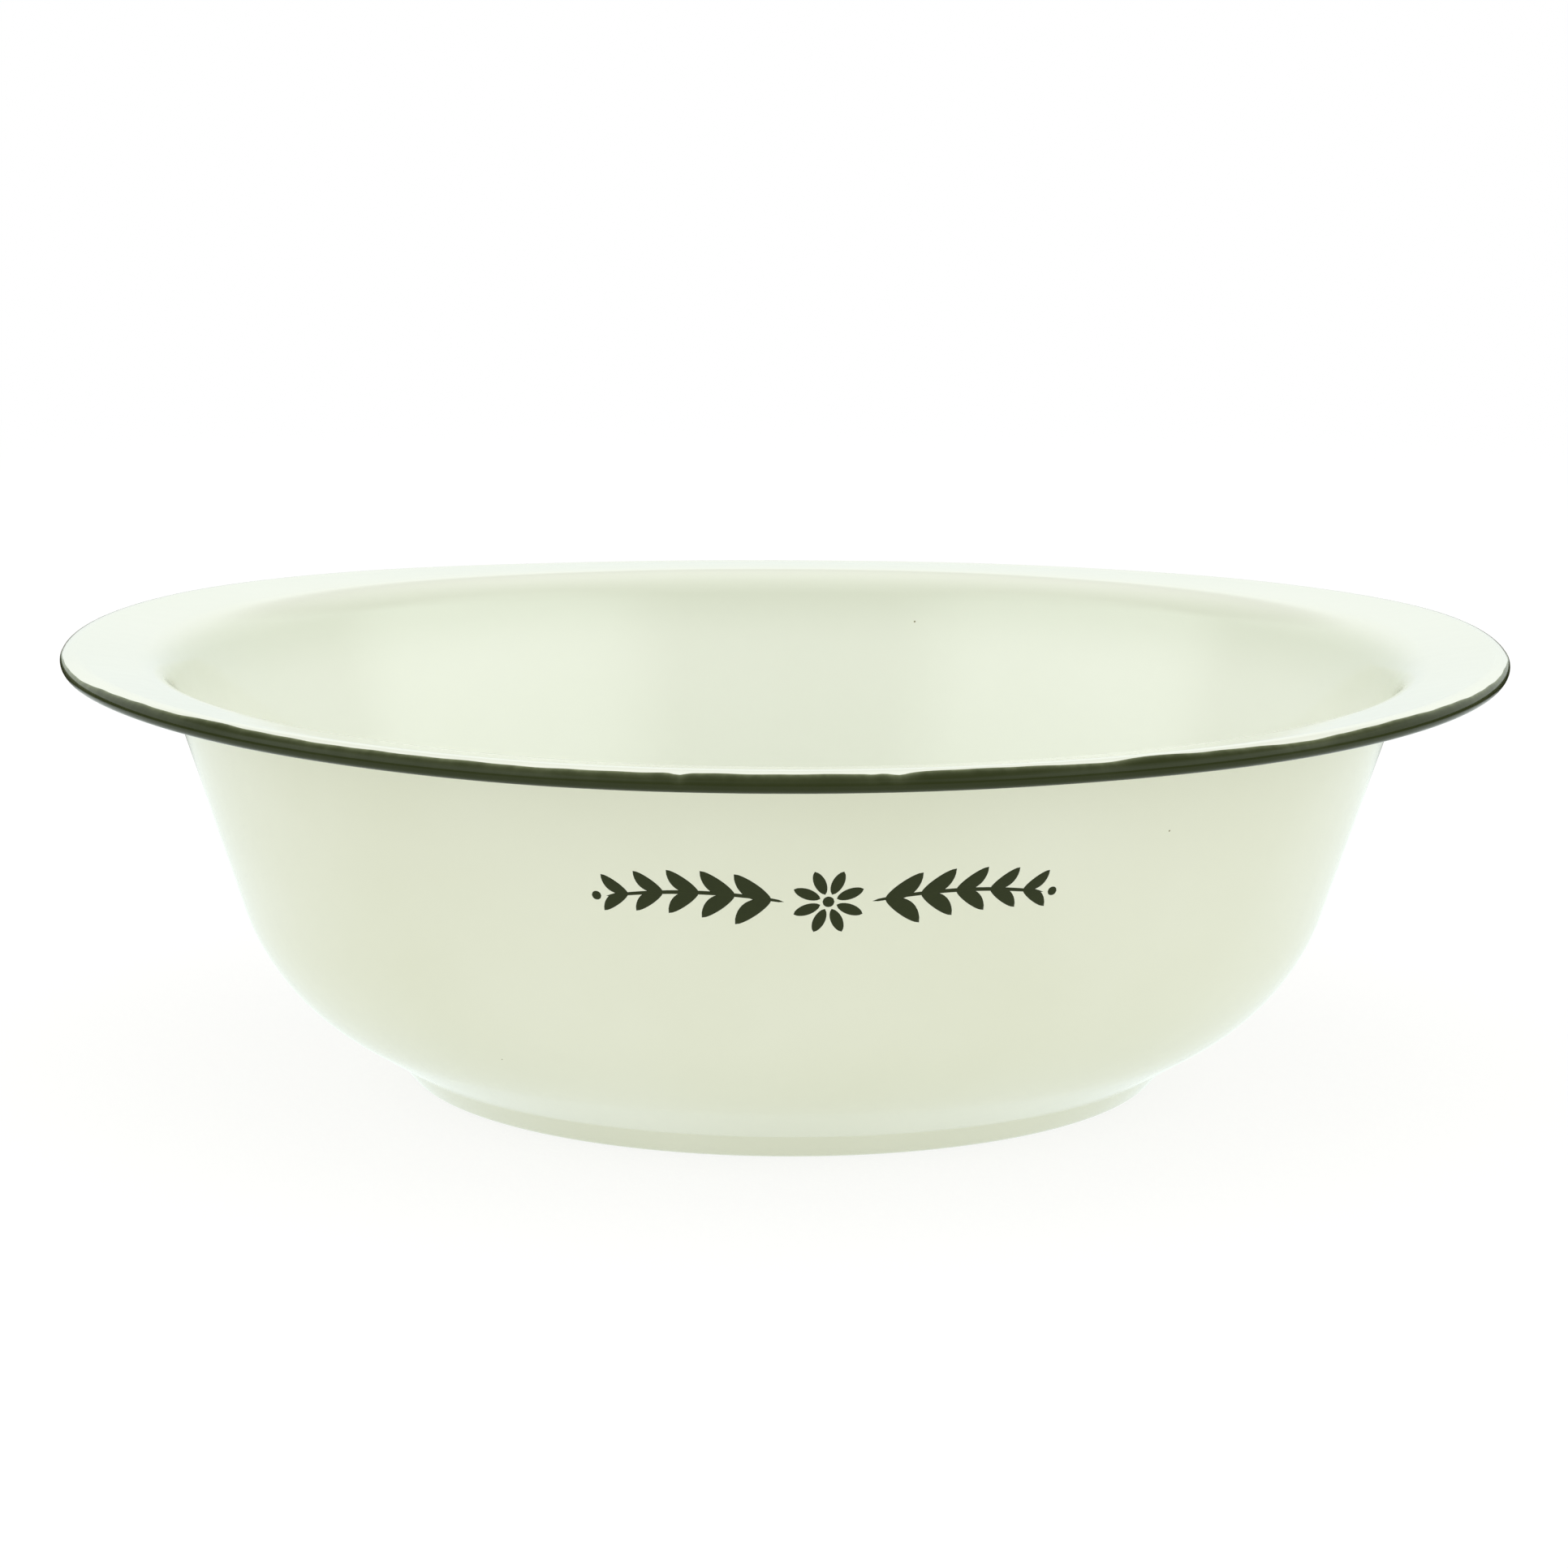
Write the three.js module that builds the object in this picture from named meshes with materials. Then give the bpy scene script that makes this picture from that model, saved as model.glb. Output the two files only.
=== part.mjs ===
// An enamelled wash basin: one pressing of sheet steel with a stepped foot and an edge that is curled
// under into a bead, a cream enamel coat on each face, and a dark green coat over the bead.
// Millimetres, +Z up. The origin is the middle of the foot, on the surface that the basin stands on.
import * as THREE from "three";

const { degToRad } = THREE.MathUtils;

// Overall sizes, over the finished coats
const RIM_DIAMETER = 400;
const HEIGHT = 122.2;
const MOUTH_DIAMETER = 343.2; // where the wall and the top of the flange would meet if the corner were sharp
const FOOT_DIAMETER = 208; // where the foot's wall and the floor would meet if the corner were sharp
const FOOT_HEIGHT = 7.2;
const FOOT_RING_INNER_DIAMETER = 186; // inner edge of the flat ring that the basin stands on
const BASE_RECESS = 3; // how far the edge of the base panel lies above the floor
const BASE_CROWN = 1.5; // how much higher the middle of the base panel is than its edge

// Sheet and coats
const SHEET = 0.7;
const COAT = 0.25;
const COAT_GAP = 0.02; // clearance between a coat and what it lies on or meets

// Slopes, in degrees
const WALL_TAPER = 17.9; // from the vertical
const BOTTOM_SLOPE = 31.8; // from the horizontal, where the bottom meets the foot
const FOOT_DRAFT = 40; // from the vertical
const RECESS_SLOPE = 40; // from the horizontal, between the foot ring and the base panel
const FLANGE_RISE = 10; // from the horizontal, towards the bead

// Bends, as radii on the outer face
const BOTTOM_BEND = 62;
const SHOULDER_BEND = 12;
const FOOT_FILLET = 2.5;
const FOOT_CORNER = 4;
const RECESS_CORNER = 5;
const PANEL_CORNER = 4;

// The rolled edge, as radii over the finished coats: a wide roll off the flange, then a tight curl
const ROLL_RADIUS = 4.8;
const CURL_RADIUS = 2.35;
const ROLL_END = 45; // degrees above the horizontal, where the roll tightens and the dark coat begins
const CURL_SWEEP = 300; // degrees of turn from the flange to the tucked-in edge

// Facets: around the axis, and along each curved stretch of the profile
const TURN_FACETS = 40;
const CROWN_FACETS = 2;
const CORNER_FACETS = 2;
const FILLET_FACETS = 2;
const BOTTOM_FACETS = 5;
const SHOULDER_FACETS = 3;
const ROLL_FACETS = 3;
const CURL_FACETS = 8;

// Depth of each face below the finished outside, measured square to the wall
const OUTER_COAT_TOP = COAT;
const SHEET_OUTER = OUTER_COAT_TOP + COAT_GAP;
const SHEET_INNER = SHEET_OUTER + SHEET;
const INNER_COAT_UNDER = SHEET_INNER + COAT_GAP;
const INSIDE = INNER_COAT_UNDER + COAT;

const ROLL_BEND = ROLL_RADIUS - INSIDE;
const CURL_BEND = CURL_RADIUS - INSIDE;

// Which side of the wall a bend's centre lies on
const CENTRE_INSIDE = 1;
const CENTRE_OUTSIDE = -1;

// Inward normals of the straight stretches of the wall, as angles from the outward horizontal
const UPRIGHT = degToRad(90);
const HALF_TURN = degToRad(180);
const RECESS_NORMAL = UPRIGHT - degToRad(RECESS_SLOPE);
const FOOT_NORMAL = HALF_TURN - degToRad(FOOT_DRAFT);
const BOTTOM_NORMAL = UPRIGHT + degToRad(BOTTOM_SLOPE);
const WALL_NORMAL = HALF_TURN - degToRad(WALL_TAPER);
const FLANGE_NORMAL = UPRIGHT + degToRad(FLANGE_RISE);
const CURL_START = degToRad(ROLL_END);
const CURL_END = FLANGE_NORMAL - degToRad(CURL_SWEEP);

function direction(angle) {
  return new THREE.Vector2(Math.cos(angle), Math.sin(angle));
}

// A straight stretch of the outer face through a point: its inward normal, and how far along that it lies.
function stretch(angle, point) {
  const normal = direction(angle);
  return { angle, normal, offset: normal.dot(point) };
}

// A place on the wall: a point of the outer face and the inward normal there.
function station(point, angle) {
  return { point, normal: direction(angle) };
}

// Stations along an arc of the outer face, from one inward normal to another.
function arc(centre, radius, side, fromAngle, toAngle, facets) {
  return Array.from({ length: facets + 1 }, (_, i) => {
    const angle = THREE.MathUtils.lerp(fromAngle, toAngle, i / facets);
    const point = centre.clone().addScaledVector(direction(angle), -side * radius);
    return station(point, angle);
  });
}

// Where two straight stretches would meet if both lay further in by the same amount.
function crossing(before, after, inwards) {
  const a = before.offset + inwards;
  const b = after.offset + inwards;
  const cross = before.normal.cross(after.normal);
  return new THREE.Vector2(
    (a * after.normal.y - b * before.normal.y) / cross,
    (b * before.normal.x - a * after.normal.x) / cross,
  );
}

// The arc that rounds the corner between two straight stretches. Its centre lies one radius from both.
function bend(before, after, radius, side, facets) {
  const centre = crossing(before, after, side * radius);
  return arc(centre, radius, side, before.angle, after.angle, facets);
}

// The base: a crowned panel whose edge steps down to the inner edge of the flat foot ring.
function baseStations() {
  const ringCentre = new THREE.Vector2(FOOT_RING_INNER_DIAMETER / 2, RECESS_CORNER);
  const ringCorner = arc(ringCentre, RECESS_CORNER, CENTRE_INSIDE, RECESS_NORMAL, UPRIGHT, CORNER_FACETS);
  const stepFoot = ringCorner[0].point;
  const edgeCentreZ = BASE_RECESS - PANEL_CORNER;
  const stepTopZ = edgeCentreZ + PANEL_CORNER * Math.sin(RECESS_NORMAL);
  const stepRun = (stepTopZ - stepFoot.y) / Math.tan(degToRad(RECESS_SLOPE));
  const edgeCentreR = stepFoot.x - stepRun - PANEL_CORNER * Math.cos(RECESS_NORMAL);
  // The crown is a wide arc about the axis that touches the edge's arc from outside.
  const reach = (edgeCentreR ** 2 + BASE_CROWN ** 2) / (2 * BASE_CROWN);
  const crownCentre = new THREE.Vector2(0, edgeCentreZ + BASE_CROWN - reach);
  const crownEdge = UPRIGHT - Math.asin(edgeCentreR / reach);
  const crownRadius = reach + PANEL_CORNER;
  const crown = arc(crownCentre, crownRadius, CENTRE_OUTSIDE, UPRIGHT, crownEdge, CROWN_FACETS);
  crown[0].point.x = 0;
  crown[0].normal.x = 0;
  const edgeCentre = new THREE.Vector2(edgeCentreR, edgeCentreZ);
  const edge = arc(edgeCentre, PANEL_CORNER, CENTRE_OUTSIDE, crownEdge, RECESS_NORMAL, CORNER_FACETS);
  return [...crown, ...edge.slice(1), ...ringCorner];
}

// The roll and the curl share a normal where they meet, so the roll's centre lies in from the curl's.
const rollToCurl = direction(CURL_START).multiplyScalar(ROLL_RADIUS - CURL_RADIUS);
const rollCentre = new THREE.Vector2(RIM_DIAMETER / 2 - CURL_RADIUS - rollToCurl.x, HEIGHT - ROLL_RADIUS);
const curlCentre = rollCentre.clone().add(rollToCurl);
const roll = arc(rollCentre, ROLL_BEND, CENTRE_OUTSIDE, FLANGE_NORMAL, CURL_START, ROLL_FACETS);
const curl = arc(curlCentre, CURL_BEND, CENTRE_OUTSIDE, CURL_START, CURL_END, CURL_FACETS);

// The straight stretches from the floor up to the flange, and the bends that join them.
function wallStations() {
  const floor = stretch(UPRIGHT, new THREE.Vector2(0, 0));
  const footEdge = new THREE.Vector2(FOOT_DIAMETER / 2, 0);
  const footTop = new THREE.Vector2(footEdge.x + FOOT_HEIGHT * Math.tan(degToRad(FOOT_DRAFT)), FOOT_HEIGHT);
  const foot = stretch(FOOT_NORMAL, footEdge);
  const flange = stretch(FLANGE_NORMAL, roll[0].point);
  const bottom = stretch(BOTTOM_NORMAL, footTop);
  const flangeTop = flange.offset + INSIDE;
  const mouthRadius = MOUTH_DIAMETER / 2;
  const mouthZ = (flangeTop - mouthRadius * flange.normal.x) / flange.normal.y;
  const mouth = new THREE.Vector2(mouthRadius, mouthZ);
  const wall = stretch(WALL_NORMAL, mouth.addScaledVector(direction(WALL_NORMAL), -INSIDE));
  // A narrow flange leaves less room for the bend of the shoulder, and stays flat for a sheet's thickness.
  const flangeRun = crossing(wall, flange, 0).distanceTo(roll[0].point) - SHEET;
  const shoulderRoom = flangeRun / Math.tan((WALL_NORMAL - FLANGE_NORMAL) / 2);
  const shoulderBend = Math.min(SHOULDER_BEND, shoulderRoom);
  return [
    ...bend(floor, foot, FOOT_CORNER, CENTRE_INSIDE, CORNER_FACETS),
    ...bend(foot, bottom, FOOT_FILLET, CENTRE_OUTSIDE, FILLET_FACETS),
    ...bend(bottom, wall, BOTTOM_BEND, CENTRE_INSIDE, BOTTOM_FACETS),
    ...bend(wall, flange, shoulderBend, CENTRE_OUTSIDE, SHOULDER_FACETS),
  ];
}

const bowl = [...baseStations(), ...wallStations()];

// A layer of the wall, turned about the axis: its lower face out along the stations, its upper face back.
function layer(name, stations, lowDepth, highDepth, material) {
  const faceAt = (depth) => stations.map((s) => s.point.clone().addScaledVector(s.normal, depth));
  const profile = [...faceAt(lowDepth), ...faceAt(highDepth).reverse()];
  const onAxis = stations[0].point.x === 0;
  const outline = onAxis ? profile : [...profile, profile[0].clone()];
  const geometry = new THREE.LatheGeometry(outline, TURN_FACETS);
  geometry.rotateX(UPRIGHT);
  const mesh = new THREE.Mesh(geometry, material);
  mesh.name = name;
  return mesh;
}

const steel = new THREE.MeshStandardMaterial({ color: 0x6f7274, roughness: 0.45, metalness: 1 });
const creamEnamel = new THREE.MeshStandardMaterial({ color: 0xe4e7d3, roughness: 0.12, metalness: 0 });
const greenEnamel = new THREE.MeshStandardMaterial({ color: 0x323a20, roughness: 0.15, metalness: 0 });

const basin = new THREE.Group();

// The pressing, from the middle of the base to the edge tucked into the curl.
const pressing = [...bowl, ...roll, ...curl.slice(1)];
basin.add(layer("steel_bowl", pressing, SHEET_OUTER, SHEET_INNER, steel));

// The outer coat stops under the flange, where the roll begins.
basin.add(layer("outer_enamel", [...bowl, roll[0]], 0, OUTER_COAT_TOP, creamEnamel));

// The inner coat runs over the flange and the roll, and stops short of the dark coat.
const shortOfCurl = direction(CURL_START + UPRIGHT).multiplyScalar(COAT_GAP);
const creamEnd = station(curl[0].point.clone().add(shortOfCurl), CURL_START);
const lining = [...bowl, ...roll.slice(0, -1), creamEnd];
basin.add(layer("inner_enamel", lining, INNER_COAT_UNDER, INSIDE, creamEnamel));

// The dark coat runs from there round the curl to the tucked-in edge.
basin.add(layer("rim_enamel", curl, INNER_COAT_UNDER, INSIDE, greenEnamel));

export default basin;
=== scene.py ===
import bpy
import numpy as np
from mathutils import Matrix


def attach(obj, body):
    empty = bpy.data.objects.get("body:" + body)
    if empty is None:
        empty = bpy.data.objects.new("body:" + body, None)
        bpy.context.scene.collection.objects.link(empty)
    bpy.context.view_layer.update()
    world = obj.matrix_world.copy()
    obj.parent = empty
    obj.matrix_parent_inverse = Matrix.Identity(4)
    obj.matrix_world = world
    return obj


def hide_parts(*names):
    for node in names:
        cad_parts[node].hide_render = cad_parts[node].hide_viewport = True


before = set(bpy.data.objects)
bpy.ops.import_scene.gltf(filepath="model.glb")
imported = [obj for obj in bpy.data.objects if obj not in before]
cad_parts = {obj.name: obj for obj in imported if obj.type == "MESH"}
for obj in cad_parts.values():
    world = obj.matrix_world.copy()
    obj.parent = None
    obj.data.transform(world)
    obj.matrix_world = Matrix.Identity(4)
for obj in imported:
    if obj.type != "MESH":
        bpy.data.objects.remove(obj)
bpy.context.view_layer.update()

# The pressing: one disc of deep-drawing steel, drawn into a bowl with a stepped foot, its edge rolled out
# and curled under. It is pickled before it is coated, so what little shows inside the curl is dull grey.
# Sizes are in millimetres, over the finished coats unless they say otherwise.
MM = 0.001
RIM_DIAMETER = 400
HEIGHT = 122.2
MOUTH_DIAMETER = 343.2
FOOT_DIAMETER = 208
FOOT_HEIGHT = 7.2
FOOT_RING_INNER_DIAMETER = 186
BASE_RECESS = 3
BASE_CROWN = 1.5
SHEET = 0.7
COAT = 0.25
COAT_GAP = 0.02

WALL_TAPER = 17.9
BOTTOM_SLOPE = 31.8
FOOT_DRAFT = 40
RECESS_SLOPE = 40
FLANGE_RISE = 10
BOTTOM_BEND = 62
SHOULDER_BEND = 12
FOOT_FILLET = 2.5
FOOT_CORNER = 4
RECESS_CORNER = 5
PANEL_CORNER = 4
ROLL_RADIUS = 4.8
CURL_RADIUS = 2.35
ROLL_END = 45
CURL_SWEEP = 300

SHEET_OUTER = COAT + COAT_GAP
SHEET_INNER = SHEET_OUTER + SHEET
INNER_COAT_UNDER = SHEET_INNER + COAT_GAP
INSIDE = INNER_COAT_UNDER + COAT
CENTRE_INSIDE = 1
CENTRE_OUTSIDE = -1

# Steps along each arc of the profile, the longest step on its straight stretches, and steps around the turn
CROWN_STEPS = 10
CORNER_STEPS = 6
FOOT_STEPS = 8
BOTTOM_STEPS = 28
SHOULDER_STEPS = 12
ROLL_STEPS = 12
CURL_STEPS = 48
STRAIGHT_STEP = 4
TURN_STEPS = 240
SAME_ANGLE = 1e-6


def direction(angle):
    """The unit vector at an angle from the outward horizontal, in the plane of the profile."""
    return np.stack([np.cos(angle), np.sin(angle)], -1)


def arc(centre, radius, side, start, end, steps):
    """Stations of an arc of the outer face: the centre less side times radius along each inward normal,
    with the normal's angle going evenly from start to end. A station is radius, height, angle."""
    angle = np.linspace(start, end, steps + 1)
    points = np.asarray(centre) - side * radius * direction(angle)
    return np.column_stack([points, angle])


def bend(before, after, radius, side, steps):
    """The arc that rounds the corner of two straight stretches. Each stretch is an inward normal's angle and
    a point. The centre is where the two lines cross once both are moved one radius along their normals."""
    normals = direction(np.array([before[0], after[0]]))
    offsets = np.array([normals[0] @ before[1], normals[1] @ after[1]]) + side * radius
    return arc(np.linalg.solve(normals, offsets), radius, side, before[0], after[0], steps)


def base_stations():
    """The base from the axis out: a crown about the axis that touches the rounded edge of the panel, then
    the rounded corner where the step reaches the flat foot ring."""
    recess = np.radians(90 - RECESS_SLOPE)
    ring_corner = arc((FOOT_RING_INNER_DIAMETER / 2, RECESS_CORNER), RECESS_CORNER, CENTRE_INSIDE,
                      recess, np.pi / 2, CORNER_STEPS)
    edge_height = BASE_RECESS - PANEL_CORNER
    step_top = edge_height + PANEL_CORNER * np.sin(recess)
    step_run = (step_top - ring_corner[0, 1]) / np.tan(np.radians(RECESS_SLOPE))
    edge_radius = ring_corner[0, 0] - step_run - PANEL_CORNER * np.cos(recess)
    reach = (edge_radius ** 2 + BASE_CROWN ** 2) / (2 * BASE_CROWN)
    crown_edge = np.pi / 2 - np.arcsin(edge_radius / reach)
    crown_centre = (0, edge_height + BASE_CROWN - reach)
    crown = arc(crown_centre, reach + PANEL_CORNER, CENTRE_OUTSIDE, np.pi / 2, crown_edge, CROWN_STEPS)
    crown[0, 0] = 0
    edge_centre = (edge_radius, edge_height)
    edge = arc(edge_centre, PANEL_CORNER, CENTRE_OUTSIDE, crown_edge, recess, CORNER_STEPS)
    return np.concatenate([crown, edge[1:], ring_corner])


def rolled_edge():
    """The edge: a wide roll off the flange, then a tight curl that shares its normal where they meet."""
    flange = np.radians(90 + FLANGE_RISE)
    tighten = np.radians(ROLL_END)
    apart = (ROLL_RADIUS - CURL_RADIUS) * direction(tighten)
    roll_centre = np.array([RIM_DIAMETER / 2 - CURL_RADIUS - apart[0], HEIGHT - ROLL_RADIUS])
    roll = arc(roll_centre, ROLL_RADIUS - INSIDE, CENTRE_OUTSIDE, flange, tighten, ROLL_STEPS)
    curl = arc(roll_centre + apart, CURL_RADIUS - INSIDE, CENTRE_OUTSIDE, tighten,
               flange - np.radians(CURL_SWEEP), CURL_STEPS)
    return np.concatenate([roll, curl[1:]])


def wall_stations(flange_edge):
    """The foot, the bottom, the wall and the shoulder: five straight stretches and the bends between them."""
    foot_edge = np.array([FOOT_DIAMETER / 2, 0])
    foot_top = foot_edge + FOOT_HEIGHT * np.array([np.tan(np.radians(FOOT_DRAFT)), 1])
    flange_angle = np.radians(90 + FLANGE_RISE)
    wall_angle = np.radians(180 - WALL_TAPER)
    normal = direction(flange_angle)
    mouth_radius = MOUTH_DIAMETER / 2
    mouth_height = (normal @ flange_edge + INSIDE - mouth_radius * normal[0]) / normal[1]
    mouth = np.array([mouth_radius, mouth_height]) - INSIDE * direction(wall_angle)
    floor_line = (np.pi / 2, np.zeros(2))
    foot = (np.radians(180 - FOOT_DRAFT), foot_edge)
    bottom = (np.radians(90 + BOTTOM_SLOPE), foot_top)
    wall = (wall_angle, mouth)
    flange = (flange_angle, flange_edge)
    return np.concatenate([
        bend(floor_line, foot, FOOT_CORNER, CENTRE_INSIDE, FOOT_STEPS),
        bend(foot, bottom, FOOT_FILLET, CENTRE_OUTSIDE, FOOT_STEPS),
        bend(bottom, wall, BOTTOM_BEND, CENTRE_INSIDE, BOTTOM_STEPS),
        bend(wall, flange, SHOULDER_BEND, CENTRE_OUTSIDE, SHOULDER_STEPS),
    ])


def spaced(stations, step):
    """The same stations with more of them on straight stretches, none further apart than the step."""
    gap = np.hypot(*np.diff(stations[:, :2], axis=0).T)
    straight = np.abs(np.diff(stations[:, 2])) < SAME_ANGLE
    count = np.where(straight, np.maximum(np.ceil(gap / step), 1), 1).astype(int)
    first = np.repeat(np.arange(len(count)), count)
    share = (np.arange(count.sum()) - np.repeat(np.cumsum(count) - count, count)) / np.repeat(count, count)
    filled = stations[first] + share[:, None] * np.diff(stations, axis=0)[first]
    return np.concatenate([filled, stations[-1:]])


EDGE = rolled_edge()
STATIONS = np.concatenate([base_stations(), wall_stations(EDGE[0, :2]), EDGE])
PROFILE = spaced(STATIONS, STRAIGHT_STEP)
ALONG = np.concatenate([[0], np.cumsum(np.hypot(*np.diff(PROFILE[:, :2], axis=0).T))])
FOOT_ALONG = ALONG[np.argmin(np.abs(PROFILE[:, 0] - FOOT_DIAMETER / 2))]
ROLL_ALONG = ALONG[len(ALONG) - len(EDGE)]
AZIMUTH = np.linspace(0, 2 * np.pi, TURN_STEPS, endpoint=False)

# Waves left in the sheet by the press and the kiln: how many in a turn, how high in mm, and where they start.
# The edge hangs lower at the back than at the front, and the wall goes a little out of round.
EDGE_SWAY = ((0, -2.38, 0), (1, 2.55, -0.03), (2, -2.03, 0), (3, 0.43, 0), (5, 0.16, -1.9), (13, 0.03, 0.7))
WALL_WAVES = ((0, -0.25, 0), (2, 0.12, 0.6), (3, 0.16, 1.6), (5, 0.08, 1.4), (9, 0.04, 1.1), (14, 0.02, 5.2))
# Powers of the way up the wall by which the waves and the sway set in
WAVE_ONSET = 1.5
SWAY_ONSET = 5
RIPPLE_HEIGHT = 0.03
RIPPLE_LENGTH = 31


def waves(azimuth, kinds):
    """The sum of cosines around the turn, each with its count, height and phase."""
    return sum(height * np.cos(count * azimuth + phase) for count, height, phase in kinds)


def unevenness(along, azimuth):
    """How far the sheet lies outside and above its true shape, in mm: waves around the turn that grow from
    nothing at the foot to their full height at the edge, and faint ripples along the wall."""
    reach = np.clip((along - FOOT_ALONG) / (ROLL_ALONG - FOOT_ALONG), 0, 1)
    ripple = RIPPLE_HEIGHT * np.sin(2 * np.pi * along / RIPPLE_LENGTH + np.cos(2 * azimuth))
    outward = reach ** WAVE_ONSET * waves(azimuth, WALL_WAVES) + np.sin(np.pi * reach) * ripple
    return outward, reach ** SWAY_ONSET * waves(azimuth, EDGE_SWAY)


def on_wall(along, azimuth, depth):
    """Points of the basin in metres: the profile at a distance along it, moved along its inward normal by the
    depth, shifted by the unevenness, then turned about the axis. Azimuth 0 is the front, towards -Y."""
    angle = np.interp(along, ALONG, PROFILE[:, 2])
    outward, upward = unevenness(along, azimuth)
    radius = np.interp(along, ALONG, PROFILE[:, 0]) + np.cos(angle) * depth + outward
    height = np.interp(along, ALONG, PROFILE[:, 1]) + np.sin(angle) * depth + upward
    return MM * np.stack([radius * np.sin(azimuth), -radius * np.cos(azimuth), height], -1)


def capped_faces(rings, columns):
    """Faces of a shape that starts at a point, runs through rings of corners and ends at a point."""
    column = np.arange(columns)
    beside = (column + 1) % columns
    start = 1 + columns * np.arange(rings - 1)[:, None]
    quads = np.stack([start + column, start + beside, start + columns + beside, start + columns + column], -1)
    last = 1 + columns * (rings - 1)
    opening = np.stack([np.zeros_like(column), 1 + beside, 1 + column], -1)
    closing = np.stack([last + column, last + beside, np.full_like(column, last + columns)], -1)
    return quads.reshape(-1, 4), np.concatenate([opening, closing])


def shell(along, low, high):
    """A closed layer of the wall from the axis to its edge: the face at the low depth out, and the face at
    the high depth back."""
    lower = on_wall(along[:, None], AZIMUTH, low)
    upper = on_wall(along[:, None], AZIMUTH, high)
    rings = np.concatenate([lower[1:], upper[:0:-1]])
    corners = np.concatenate([lower[0, :1], rings.reshape(-1, 3), upper[0, :1]])
    return corners, capped_faces(len(rings), len(AZIMUTH))


def piece(name, corners, faces, material):
    """A smooth mesh object at the origin, from an array of corners and arrays of faces."""
    mesh = bpy.data.meshes.new(name)
    mesh.from_pydata(corners.tolist(), [], [face for group in faces for face in group.tolist()])
    mesh.polygons.foreach_set("use_smooth", np.ones(len(mesh.polygons), bool))
    mesh.materials.append(material)
    made = bpy.data.objects.new(name, mesh)
    bpy.context.scene.collection.objects.link(made)
    return made


def linear(hex_colour):
    """An sRGB hex colour as linear red, green, blue and alpha."""
    srgb = np.array([int(hex_colour[i:i + 2], 16) for i in (1, 3, 5)]) / 255
    value = np.where(srgb <= 0.04045, srgb / 12.92, ((srgb + 0.055) / 1.055) ** 2.4)
    return (*value.tolist(), 1.0)


def add(tree, kind, inputs, **settings):
    """Adds a node with its settings. Each input, by its identifier, is a constant, another node's output, or
    another node, which gives its first output."""
    node = tree.nodes.new(kind)
    for name, value in settings.items():
        setattr(node, name, value)
    sockets = {socket.identifier: socket for socket in node.inputs}
    for name, value in inputs.items():
        if isinstance(value, bpy.types.Node):
            value = next(output for output in value.outputs if output.enabled)
        if isinstance(value, bpy.types.NodeSocket):
            tree.links.new(value, sockets[name])
        else:
            sockets[name].default_value = value
    return node


def new_material(name):
    """A node material without nodes, and its tree."""
    material = bpy.data.materials.new(name)
    material.use_nodes = True
    material.node_tree.nodes.clear()
    return material, material.node_tree


STEEL_DARK = "#5f6264"
STEEL_PALE = "#85888a"
STEEL_CLOUD = 18
STEEL_GRAIN = 0.6
STEEL_GRAIN_DEPTH = 0.02


def pickled_steel():
    """Pickled sheet steel: a dull grey metal with cloudy patches and the fine grain of the acid bath."""
    material, tree = new_material("pickled_steel")
    place = add(tree, "ShaderNodeTexCoord", {}).outputs["Object"]
    clouds = add(tree, "ShaderNodeTexNoise", {"Vector": place, "Scale": 1 / (STEEL_CLOUD * MM),
                                              "Detail": 4.0})
    grain = add(tree, "ShaderNodeTexNoise", {"Vector": place, "Scale": 1 / (STEEL_GRAIN * MM),
                                             "Detail": 2.0})
    colour = add(tree, "ShaderNodeMix", {"Factor_Float": clouds, "A_Color": linear(STEEL_DARK),
                                         "B_Color": linear(STEEL_PALE)}, data_type="RGBA")
    relief = add(tree, "ShaderNodeBump", {"Height": grain, "Distance": STEEL_GRAIN_DEPTH * MM})
    steel = add(tree, "ShaderNodeBsdfPrincipled", {"Base Color": colour, "Metallic": 1.0, "Roughness": 0.45,
                                                   "Normal": relief})
    add(tree, "ShaderNodeOutputMaterial", {"Surface": steel})
    return material


pressing = piece("pressing", *shell(ALONG, SHEET_OUTER, SHEET_INNER), pickled_steel())
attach(pressing, "root")
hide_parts("steel_bowl")

# The outside coat: cream vitreous enamel, sprayed over the ground coat and fired to a glass. It runs from
# the base up the wall to the underside of the flange, and stops where the edge rolls over.
OUTSIDE_CREAM = "#e0e3d1"
OUTSIDE_CREAM_DEEP = "#d8dbc4"
DRIFT_WIDTH = 70
SPECK_BROWN = "#8f8a6c"
SPECK_RADIUS = 0.3
SPECK_SPACING = 14
SPECK_SHARE = 0.2
PEEL_WIDTH = 9
PEEL_DEPTH = 0.03


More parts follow.
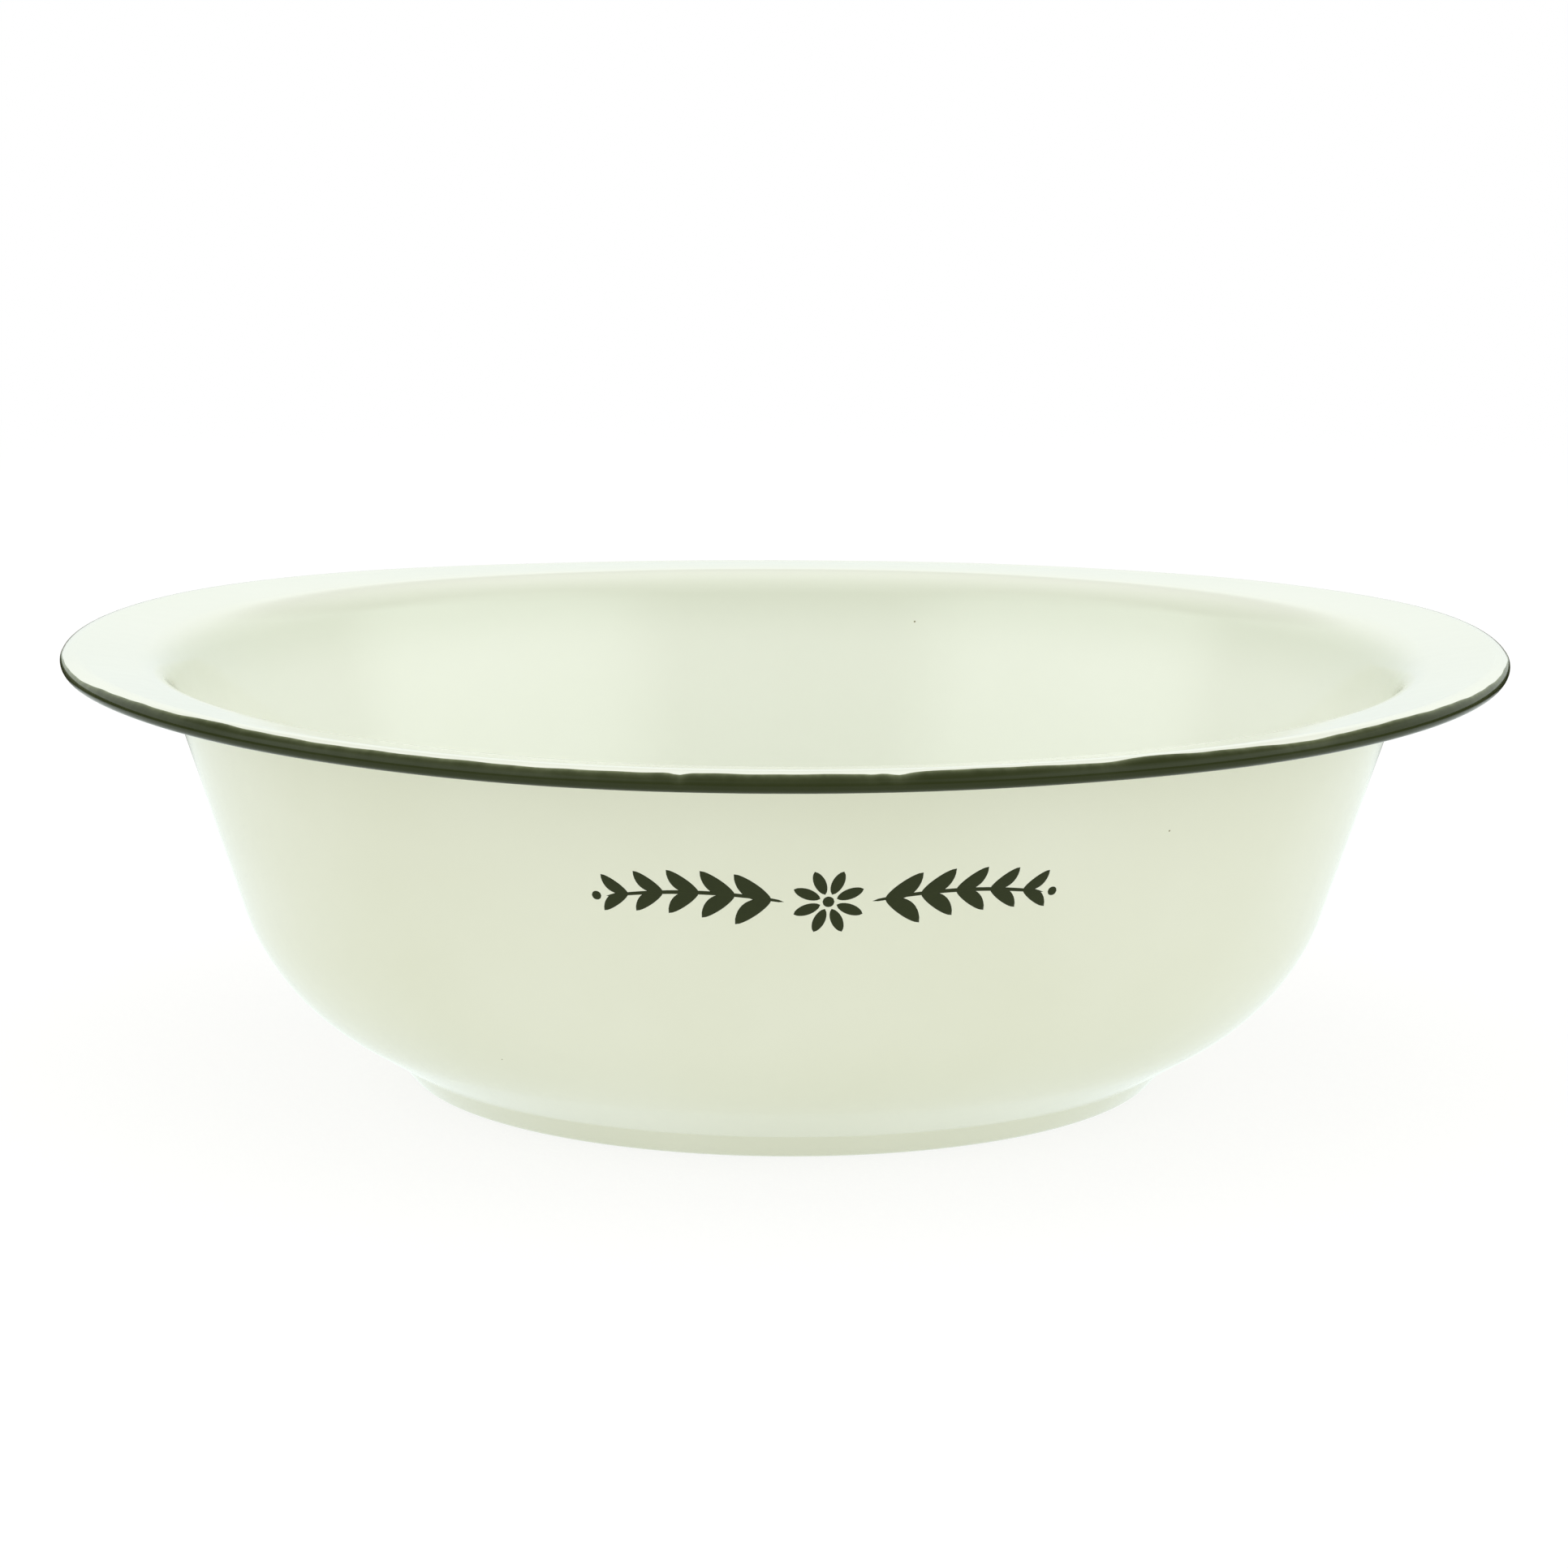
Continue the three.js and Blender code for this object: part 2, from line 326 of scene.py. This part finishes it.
def cream_enamel(name, cream, deep_cream, drained_cream):
    """Fired cream enamel: a smooth glass with slow drifts of colour where the spray lay thicker, a faint
    orange peel that bends reflections, a few iron specks burnt into it, and a darker tint painted in as
    shade where the shoulder attribute says."""
    material, tree = new_material(name)
    place = add(tree, "ShaderNodeTexCoord", {}).outputs["Object"]
    drift = add(tree, "ShaderNodeTexNoise", {"Vector": place, "Scale": 1 / (DRIFT_WIDTH * MM),
                                             "Detail": 3.0})
    sprayed = add(tree, "ShaderNodeMix", {"Factor_Float": drift, "A_Color": linear(cream),
                                          "B_Color": linear(deep_cream)}, data_type="RGBA")
    # The shoulder attribute mixes in the darker cream: painted shade on the inside coat
    thin = add(tree, "ShaderNodeAttribute", {}, attribute_name="drained")
    colour = add(tree, "ShaderNodeMix", {"Factor_Float": thin.outputs["Fac"], "A_Color": sprayed,
                                         "B_Color": linear(drained_cream)}, data_type="RGBA")
    cells = add(tree, "ShaderNodeTexVoronoi", {"Vector": place, "Scale": 1 / (SPECK_SPACING * MM),
                                               "Randomness": 1.0})
    near = add(tree, "ShaderNodeMath", {"Value": cells, "Value_001": SPECK_RADIUS / SPECK_SPACING},
               operation="LESS_THAN")
    chosen = add(tree, "ShaderNodeSeparateColor", {"Color": cells.outputs["Color"]})
    rare = add(tree, "ShaderNodeMath", {"Value": chosen.outputs["Red"], "Value_001": 1 - SPECK_SHARE},
               operation="GREATER_THAN")
    speck = add(tree, "ShaderNodeMath", {"Value": near, "Value_001": rare}, operation="MULTIPLY")
    speckled = add(tree, "ShaderNodeMix", {"Factor_Float": speck, "A_Color": colour,
                                           "B_Color": linear(SPECK_BROWN)}, data_type="RGBA")
    peel = add(tree, "ShaderNodeTexNoise", {"Vector": place, "Scale": 1 / (PEEL_WIDTH * MM),
                                            "Detail": 1.0})
    relief = add(tree, "ShaderNodeBump", {"Height": peel, "Distance": PEEL_DEPTH * MM})
    glaze = add(tree, "ShaderNodeBsdfPrincipled", {"Base Color": speckled, "Roughness": 0.08, "IOR": 1.55,
                                                   "Normal": relief})
    add(tree, "ShaderNodeOutputMaterial", {"Surface": glaze})
    return material


outside_along = ALONG[ALONG <= ROLL_ALONG]
outside = piece("outside_coat", *shell(outside_along, 0, COAT),
                cream_enamel("cream_enamel_outside", OUTSIDE_CREAM, OUTSIDE_CREAM_DEEP, OUTSIDE_CREAM_DEEP))
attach(outside, "root")
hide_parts("outer_enamel")

# The inside coat: the same enamel over the inside of the bowl, the flange and the rolled edge, with a darker
# greener tint painted round the shoulder as shade. It was fired before the dark band, so it runs on under
# that.
INSIDE_CREAM = "#ecefe2"
INSIDE_CREAM_DEEP = "#e7ebdb"
# A darker, greener cream painted round the shoulder as shade
SHOULDER_CREAM = "#dde2d0"
# How far the painted shade reaches down the wall from the shoulder, and up the flange
DRAINED_BELOW = 13
DRAINED_ABOVE = 5

wall_part = (ALONG > FOOT_ALONG) & (ALONG < ROLL_ALONG)
shoulder_along = np.interp(MOUTH_DIAMETER / 2, PROFILE[wall_part, 0], ALONG[wall_part])


def drained():
    """How much painted shade each corner of the shell takes: a bell along the profile, 1 at the shoulder,
    that falls off slowly down the wall and fast up the flange."""
    above = ALONG > shoulder_along
    bell = np.exp(-((ALONG - shoulder_along) / np.where(above, DRAINED_ABOVE, DRAINED_BELOW)) ** 2)
    rings = np.concatenate([bell[1:], bell[:0:-1]])
    return np.concatenate([bell[:1], np.repeat(rings, len(AZIMUTH)), bell[:1]])


inside = piece("inside_coat", *shell(ALONG, INNER_COAT_UNDER, INSIDE),
               cream_enamel("cream_enamel_inside", INSIDE_CREAM, INSIDE_CREAM_DEEP, SHOULDER_CREAM))
# The bell of painted shade round the shoulder, kept as a point attribute
drained_layer = inside.data.attributes.new("drained", "FLOAT", "POINT")
drained_layer.data.foreach_set("value", drained())
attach(inside, "root")
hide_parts("inner_enamel")

# The rim band: dark green enamel brushed by hand round the rolled edge and fired last. Its upper line wavers
# with the hand, and the paint stands a little proud.
BAND_GREEN = "#2d331a"
BAND_THIN_OLIVE = "#8f9776"
BAND_THIN_REACH = 0.9
BAND_RAISED = 0.09
BAND_EDGE_ROUND = 0.5
BAND_PEEL_WIDTH = 4
BLOTCH_WIDTH = 3
# How much of the olive shows where the paint is thin: what the blotches add at most, and the least
BLOTCH_COVER = (1.2, 0.25)
BAND_ROWS = 36
BAND_CROWDING = 1.6
BAND_STEPS = 900
BAND_AZIMUTH = np.linspace(0, 2 * np.pi, BAND_STEPS, endpoint=False)
# The brush line, in degrees on the roll
BAND_LINE = 60
# Waver of the brush: how many in a turn, how high in degrees on the roll, and where they start
BRUSH_WAVER = ((7, 1.5, 5.2), (19, 1.4, 2.0), (43, 1.0, 4.4), (97, 0.7, 1.0))
# Where the brush strayed, and where the basin was held: azimuth, half-width and how much lower, in degrees
BRUSH_STRAYS = ((-70, 9, 14), (-46, 3, -6), (-7.3, 0.6, 9), (6.2, 0.5, 4), (8.0, 0.8, 9), (15, 5, -7),
                (27, 2.6, -13), (32, 4, -6), (42, 4, 5), (70, 9, 12), (141, 1.4, 9), (-128, 1.1, 8),
                (-94, 11, 66), (97, 11, 66))


def brush_line(azimuth):
    """The angle on the roll where the band begins: one level with the waver added, and a rounded dip or rise
    wherever the brush strayed."""
    line = BAND_LINE + waves(azimuth, BRUSH_WAVER)
    for place, half_width, depth in BRUSH_STRAYS:
        away = np.angle(np.exp(1j * (azimuth - np.radians(place)))) / np.radians(half_width)
        line = line - depth * np.exp(-away ** 2)
    return np.radians(line)


def band():
    """The band as a closed ring: rows from the brush line to the tucked-in edge, closer near the line, with
    the thickness rising there in a quarter round. The second result is 1 where the paint is thinnest."""
    start = np.interp(-brush_line(BAND_AZIMUTH), -EDGE[:, 2], ALONG[-len(EDGE):])
    share = np.linspace(0, 1, BAND_ROWS)[:, None] ** BAND_CROWDING
    along = start + share * (ALONG[-1] - start)
    from_line = (along - start) * CURL_RADIUS / (CURL_RADIUS - INSIDE)
    rise = np.sqrt(1 - (1 - np.clip(from_line / BAND_EDGE_ROUND, 0, 1)) ** 2)
    outer = on_wall(along, BAND_AZIMUTH, INSIDE + BAND_RAISED * rise)
    inner = on_wall(along, BAND_AZIMUTH, INSIDE - COAT_GAP)
    rings = np.concatenate([inner, outer[::-1]])
    thin = np.exp(-from_line / BAND_THIN_REACH)
    return rings, np.concatenate([thin, thin[::-1]])


def ring_faces(rings, columns):
    """Faces of a grid of rings that closes on itself both around the turn and along the profile."""
    row = np.arange(rings)[:, None] * columns
    ahead = (np.arange(rings)[:, None] + 1) % rings * columns
    column = np.arange(columns)
    beside = (column + 1) % columns
    return np.stack([row + column, row + beside, ahead + beside, ahead + column], -1).reshape(-1, 4)


def green_enamel():
    """Fired dark green enamel: a glass that is nearly black where it is thick and olive where the brush left
    it thin, in uneven blotches, with a gloss a little softer than the cream."""
    material, tree = new_material("green_enamel")
    place = add(tree, "ShaderNodeTexCoord", {}).outputs["Object"]
    thin = add(tree, "ShaderNodeAttribute", {}, attribute_name="thin")
    blotches = add(tree, "ShaderNodeTexNoise", {"Vector": place, "Scale": 1 / (BLOTCH_WIDTH * MM),
                                                "Detail": 3.0})
    cover = add(tree, "ShaderNodeMath", {"Value": blotches, "Value_001": BLOTCH_COVER[0],
                                         "Value_002": BLOTCH_COVER[1]}, operation="MULTIPLY_ADD")
    amount = add(tree, "ShaderNodeMath", {"Value": thin.outputs["Fac"], "Value_001": cover},
                 operation="MULTIPLY", use_clamp=True)
    colour = add(tree, "ShaderNodeMix", {"Factor_Float": amount, "A_Color": linear(BAND_GREEN),
                                         "B_Color": linear(BAND_THIN_OLIVE)}, data_type="RGBA")
    peel = add(tree, "ShaderNodeTexNoise", {"Vector": place, "Scale": 1 / (BAND_PEEL_WIDTH * MM),
                                            "Detail": 1.0})
    relief = add(tree, "ShaderNodeBump", {"Height": peel, "Distance": PEEL_DEPTH * MM})
    glaze = add(tree, "ShaderNodeBsdfPrincipled", {"Base Color": colour, "Roughness": 0.12, "IOR": 1.45,
                                                   "Specular IOR Level": 0.14, "Normal": relief})
    add(tree, "ShaderNodeOutputMaterial", {"Surface": glaze})
    return material


dark_green = green_enamel()
band_rings, band_thin = band()
rim_band = piece("rim_band", band_rings.reshape(-1, 3), [ring_faces(*band_rings.shape[:2])], dark_green)
thin_layer = rim_band.data.attributes.new("thin", "FLOAT", "POINT")
thin_layer.data.foreach_set("value", np.ravel(band_thin))
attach(rim_band, "root")
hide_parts("rim_enamel")

# The mark on the front: a small flower between two leafy sprigs, stencilled on the wall in the same dark
# green and fired with the band, so that it stands a hair proud of the cream.
MARK_AZIMUTH = 4
MARK_HEIGHT = 81
MARK_RAISED = 0.06
PETALS = 8
# Where a petal and a stem start, from the middle of the flower, with their length and half-width
PETAL = (2.2, 7.2, 1.5)
STEM = (11, 45, 0.55)
STEM_BOW = 0.05
EYE_RADIUS = 1.5
LEAF_PAIRS = 5
# How far along its own stretch of the stem each pair of leaves grows
LEAF_PLACE = 0.35
LEAF_LENGTHS = (12, 8)
LEAF_WIDTH_SHARE = 0.19
LEAF_SPREAD = 38
LEAF_BOW = 0.09
BERRY_RADIUS = 1.25
# How full each shape is: a half makes it round, less makes its ends blunt and more makes them sharp
ROUND_FULLNESS = 0.5
PETAL_FULLNESS = 0.7
STEM_FULLNESS = 0.2
LEAF_FULLNESS = 0.8
MARK_RINGS = 11
STEM_RINGS = 31
MARK_COLUMNS = 12


def lenses(start, heading, length, half_width, bow, fullness, rings=MARK_RINGS, columns=MARK_COLUMNS):
    """Many lens shapes drawn on the wall at once, half sunk in the cream. Each runs from its start along its
    heading, bows sideways as a parabola, and is as wide as 4u(1-u) to the power of its fullness."""
    start = np.reshape(start, (-1, 2))
    heading, length, half_width, bow = (np.broadcast_to(value, len(start))[:, None, None]
                                        for value in (heading, length, half_width, bow))
    u = np.linspace(0, 1, rings + 2)[:, None]
    turn = np.linspace(0, 2 * np.pi, columns, endpoint=False)
    swell = np.maximum(4 * u * (1 - u), 0)
    sideways = length * bow * swell + half_width * swell ** fullness * np.cos(turn)
    forward = length * u + 0 * sideways
    across = start[:, 0, None, None] + forward * np.cos(heading) - sideways * np.sin(heading)
    up = start[:, 1, None, None] + forward * np.sin(heading) + sideways * np.cos(heading)
    proud = MARK_RAISED * swell ** ROUND_FULLNESS * np.sin(turn) + 0 * across
    azimuth = np.radians(MARK_AZIMUTH) + across / mark_radius
    grid = on_wall(mark_along + up, azimuth, -proud)
    corners = np.concatenate([grid[:, 0, :1], grid[:, 1:-1].reshape(len(start), -1, 3), grid[:, -1, :1]], 1)
    each = corners.shape[1]
    shift = each * np.arange(len(start))[:, None, None]
    faces = [(group + shift).reshape(-1, group.shape[1]) for group in capped_faces(rings, columns)]
    return corners.reshape(-1, 3), faces


def joined(groups):
    """Several groups of corners and faces as one, with each group's faces counted on from the last."""
    counts = np.cumsum([0] + [len(corners) for corners, _ in groups])
    faces = [face + count for (_, group), count in zip(groups, counts) for face in group]
    return np.concatenate([corners for corners, _ in groups]), faces


def mark_lenses():
    """The flower's petals and eye, the two stems, the leaves in pairs that shorten outwards, and a berry
    beyond each stem."""
    petal_angle = 2 * np.pi * np.arange(PETALS) / PETALS + np.pi / PETALS
    petals = lenses(PETAL[0] * direction(petal_angle), petal_angle, PETAL[1], PETAL[2], 0, PETAL_FULLNESS)
    eye = lenses((-EYE_RADIUS, 0), 0, 2 * EYE_RADIUS, EYE_RADIUS, 0, ROUND_FULLNESS)
    sides = np.array([0, np.pi])
    stem_bows = STEM_BOW * np.array([1, -1])
    stems = lenses(STEM[0] * direction(sides), sides, STEM[1], STEM[2], stem_bows, STEM_FULLNESS, STEM_RINGS)
    groups = [petals, eye, stems]
    share = (np.arange(LEAF_PAIRS) + LEAF_PLACE) / LEAF_PAIRS
    leaf_length = LEAF_LENGTHS[0] + (LEAF_LENGTHS[1] - LEAF_LENGTHS[0]) * share
    rise = STEM[1] * STEM_BOW * 4 * share * (1 - share)
    for side in (1, -1):
        root = np.column_stack([side * (STEM[0] + STEM[1] * share), rise])
        for hand in (1, -1):
            spread = hand * np.radians(LEAF_SPREAD)
            heading = spread if side == 1 else np.pi - spread
            groups.append(lenses(root, heading, leaf_length, LEAF_WIDTH_SHARE * leaf_length,
                                 -hand * side * LEAF_BOW, LEAF_FULLNESS))
        tip = side * (STEM[0] + STEM[1] + 2 * BERRY_RADIUS)
        groups.append(lenses((tip - BERRY_RADIUS, 0), 0, 2 * BERRY_RADIUS, BERRY_RADIUS, 0, ROUND_FULLNESS))
    return joined(groups)


mark_along = np.interp(MARK_HEIGHT, PROFILE[wall_part, 1], ALONG[wall_part])
mark_radius = np.interp(mark_along, ALONG, PROFILE[:, 0])
mark = piece("front_mark", *mark_lenses(), dark_green)
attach(mark, "root")

# The floor: a wide sheet of matt white board, lit a little from below like a light table. It takes the
# basin's shadow and runs out into plain white.
FLOOR_WHITE = "#cfcfcc"
FLOOR_GLOW = 0.42
FLOOR_LIFT = 0.65
FLOOR_TOOTH = 2
FLOOR_TOOTH_DEPTH = 0.05
MIRRORED_WHITE = "#f4fdfb"
FLOOR_MIRRORED = 1.1
# Metres from the axis: the edge, where the board fades to white, and where what gloss mirrors of it ends
FLOOR_RADIUS = 4
FLOOR_FADE = (0.7, 1.6)
FLOOR_MIRRORED_REACH = (0.40, 0.60)
FLOOR_RINGS = 8
FLOOR_STEPS = 96


def white_board():
    """Matt white board: a diffuse white with a glow of its own. Looked at, it is lifted towards plain white,
    wholly so away from the basin. Gloss mirrors it as a cool white that ends a little way out."""
    material, tree = new_material("white_board")
    place = add(tree, "ShaderNodeTexCoord", {}).outputs["Object"]
    path = add(tree, "ShaderNodeLightPath", {})
    tooth = add(tree, "ShaderNodeTexNoise", {"Vector": place, "Scale": 1 / (FLOOR_TOOTH * MM), "Detail": 2.0})
    relief = add(tree, "ShaderNodeBump", {"Height": tooth, "Distance": FLOOR_TOOTH_DEPTH * MM})
    board = add(tree, "ShaderNodeBsdfPrincipled", {"Base Color": linear(FLOOR_WHITE), "Roughness": 0.9,
                                                   "Specular IOR Level": 0.0, "Normal": relief})
    glow = add(tree, "ShaderNodeEmission", {"Strength": FLOOR_GLOW})
    lit = add(tree, "ShaderNodeAddShader", {"Shader": board, "Shader_001": glow})
    white = add(tree, "ShaderNodeEmission", {"Strength": 1.0})
    away = add(tree, "ShaderNodeVectorMath", {"Vector": place}, operation="LENGTH").outputs["Value"]
    fade = add(tree, "ShaderNodeMapRange", {"Value": away, "From Min": FLOOR_FADE[0],
                                            "From Max": FLOOR_FADE[1], "To Min": FLOOR_LIFT},
               interpolation_type="SMOOTHSTEP")
    lift = add(tree, "ShaderNodeMath", {"Value": path.outputs["Is Camera Ray"], "Value_001": fade},
               operation="MULTIPLY")
    seen = add(tree, "ShaderNodeMixShader", {"Fac": lift, "Shader": lit, "Shader_001": white})
    mirrored = add(tree, "ShaderNodeMapRange", {"Value": away, "From Min": FLOOR_MIRRORED_REACH[0],
                                                "From Max": FLOOR_MIRRORED_REACH[1],
                                                "To Min": FLOOR_MIRRORED, "To Max": 0.0},
                   interpolation_type="SMOOTHSTEP")
    cool = add(tree, "ShaderNodeEmission", {"Color": linear(MIRRORED_WHITE), "Strength": mirrored})
    sheet = add(tree, "ShaderNodeMixShader", {"Fac": path.outputs["Is Glossy Ray"], "Shader": seen,
                                              "Shader_001": cool})
    add(tree, "ShaderNodeOutputMaterial", {"Surface": sheet})
    return material


floor_turn = np.linspace(0, 2 * np.pi, FLOOR_STEPS, endpoint=False)
floor_rings = FLOOR_RADIUS * np.linspace(0, 1, FLOOR_RINGS + 1)[1:, None, None] ** 2
floor_circle = np.stack([np.cos(floor_turn), np.sin(floor_turn), 0 * floor_turn], -1)
floor_corners = np.concatenate([np.zeros((1, 3)), (floor_rings * floor_circle).reshape(-1, 3)])
floor_quads, floor_caps = capped_faces(len(floor_rings), len(floor_turn))
floor_middle = floor_caps[:len(floor_turn)]
floor = piece("floor", floor_corners, [floor_quads[:, ::-1], floor_middle[:, ::-1]], white_board())

# The studio: an evenly white room, brighter overhead and where a light stands behind cloth to the left and
# to the right of the camera, dimmer behind the camera and behind the basin. Gloss mirrors it as a cool white
# with the two lights in it and a dark ceiling.
ROOM_LIGHT = 1.05
CEILING_SINE = (0.42, 0.62)
CEILING_MIRRORED = 0.1
# Each part of the room: towards it from the basin, the angles from its middle where it ends and where it is
# full, how much it adds to the light, and how much to what gloss mirrors
ROOM_PARTS = (
    ((-0.85, -0.42, 0.32), (40, 16), 0.05, 1.3),
    ((0.85, -0.42, 0.32), (40, 16), 0.15, 1.3),
    ((0, 0, 1), (60, 25), 0.34, 0),
    ((0, -1, 0.25), (55, 15), -0.15, 0),
    ((0, 0.93, 0.36), (50, 20), -0.5, -0.08),
    ((0, -1, -0.12), (34, 18), 0, -0.85),
)

world = bpy.data.worlds.new("white_room")
world.use_nodes = True
room = world.node_tree
room.nodes.clear()
towards = add(room, "ShaderNodeTexCoord", {}).outputs["Generated"]
height = add(room, "ShaderNodeSeparateXYZ", {"Vector": towards}).outputs["Z"]
lit_level = ROOM_LIGHT
mirrored_level = add(room, "ShaderNodeMapRange", {"Value": height, "From Min": CEILING_SINE[0],
                                                  "From Max": CEILING_SINE[1], "To Min": 1.0,
                                                  "To Max": CEILING_MIRRORED},
                     interpolation_type="SMOOTHSTEP")
for part_towards, part_angles, part_light, part_mirrored in ROOM_PARTS:
    unit = np.array(part_towards) / np.linalg.norm(part_towards)
    nearness = add(room, "ShaderNodeVectorMath", {"Vector": towards, "Vector_001": unit.tolist()},
                   operation="DOT_PRODUCT").outputs["Value"]
    edge, full = np.cos(np.radians(part_angles))
    part = add(room, "ShaderNodeMapRange", {"Value": nearness, "From Min": edge, "From Max": full},
               interpolation_type="SMOOTHSTEP")
    lit_level = add(room, "ShaderNodeMath", {"Value": part, "Value_001": part_light, "Value_002": lit_level},
                    operation="MULTIPLY_ADD")
    mirrored_level = add(room, "ShaderNodeMath", {"Value": part, "Value_001": part_mirrored,
                                                  "Value_002": mirrored_level}, operation="MULTIPLY_ADD")
lit = add(room, "ShaderNodeBackground", {"Color": (1, 1, 1, 1), "Strength": lit_level})
mirrored = add(room, "ShaderNodeBackground", {"Color": linear(MIRRORED_WHITE), "Strength": mirrored_level})
backdrop = add(room, "ShaderNodeBackground", {"Color": (1, 1, 1, 1), "Strength": 1.0})
path = add(room, "ShaderNodeLightPath", {})
around = add(room, "ShaderNodeMixShader", {"Fac": path.outputs["Is Glossy Ray"], "Shader": lit,
                                           "Shader_001": mirrored})
shown = add(room, "ShaderNodeMixShader", {"Fac": path.outputs["Is Camera Ray"], "Shader": around,
                                          "Shader_001": backdrop})
add(room, "ShaderNodeOutputWorld", {"Surface": shown})
bpy.context.scene.world = world

# The camera: a long lens a little above the rim, tipped down so that the basin sits low in a square frame,
# and not quite level.
CAMERA_TARGET_HEIGHT = 118.4
CAMERA_DISTANCE = 1400
CAMERA_ELEVATION = 9.229
CAMERA_PITCH = 1.542
CAMERA_ROLL = 0.342
LENS = 115.496
SENSOR = 36

lens = bpy.data.cameras.new("camera")
lens.sensor_fit = "HORIZONTAL"
lens.sensor_width = SENSOR
lens.lens = LENS
camera = bpy.data.objects.new("camera", lens)
camera_rise = np.radians(CAMERA_ELEVATION)
camera_place = Matrix.Translation((0, -CAMERA_DISTANCE * MM * np.cos(camera_rise),
                                   MM * (CAMERA_TARGET_HEIGHT + CAMERA_DISTANCE * np.sin(camera_rise))))
camera_tilt = Matrix.Rotation(np.radians(90 - CAMERA_ELEVATION - CAMERA_PITCH), 4, "X")
camera.matrix_world = camera_place @ camera_tilt @ Matrix.Rotation(np.radians(CAMERA_ROLL), 4, "Z")
bpy.context.scene.collection.objects.link(camera)
bpy.context.scene.camera = camera
bpy.context.scene.view_settings.view_transform = "Standard"
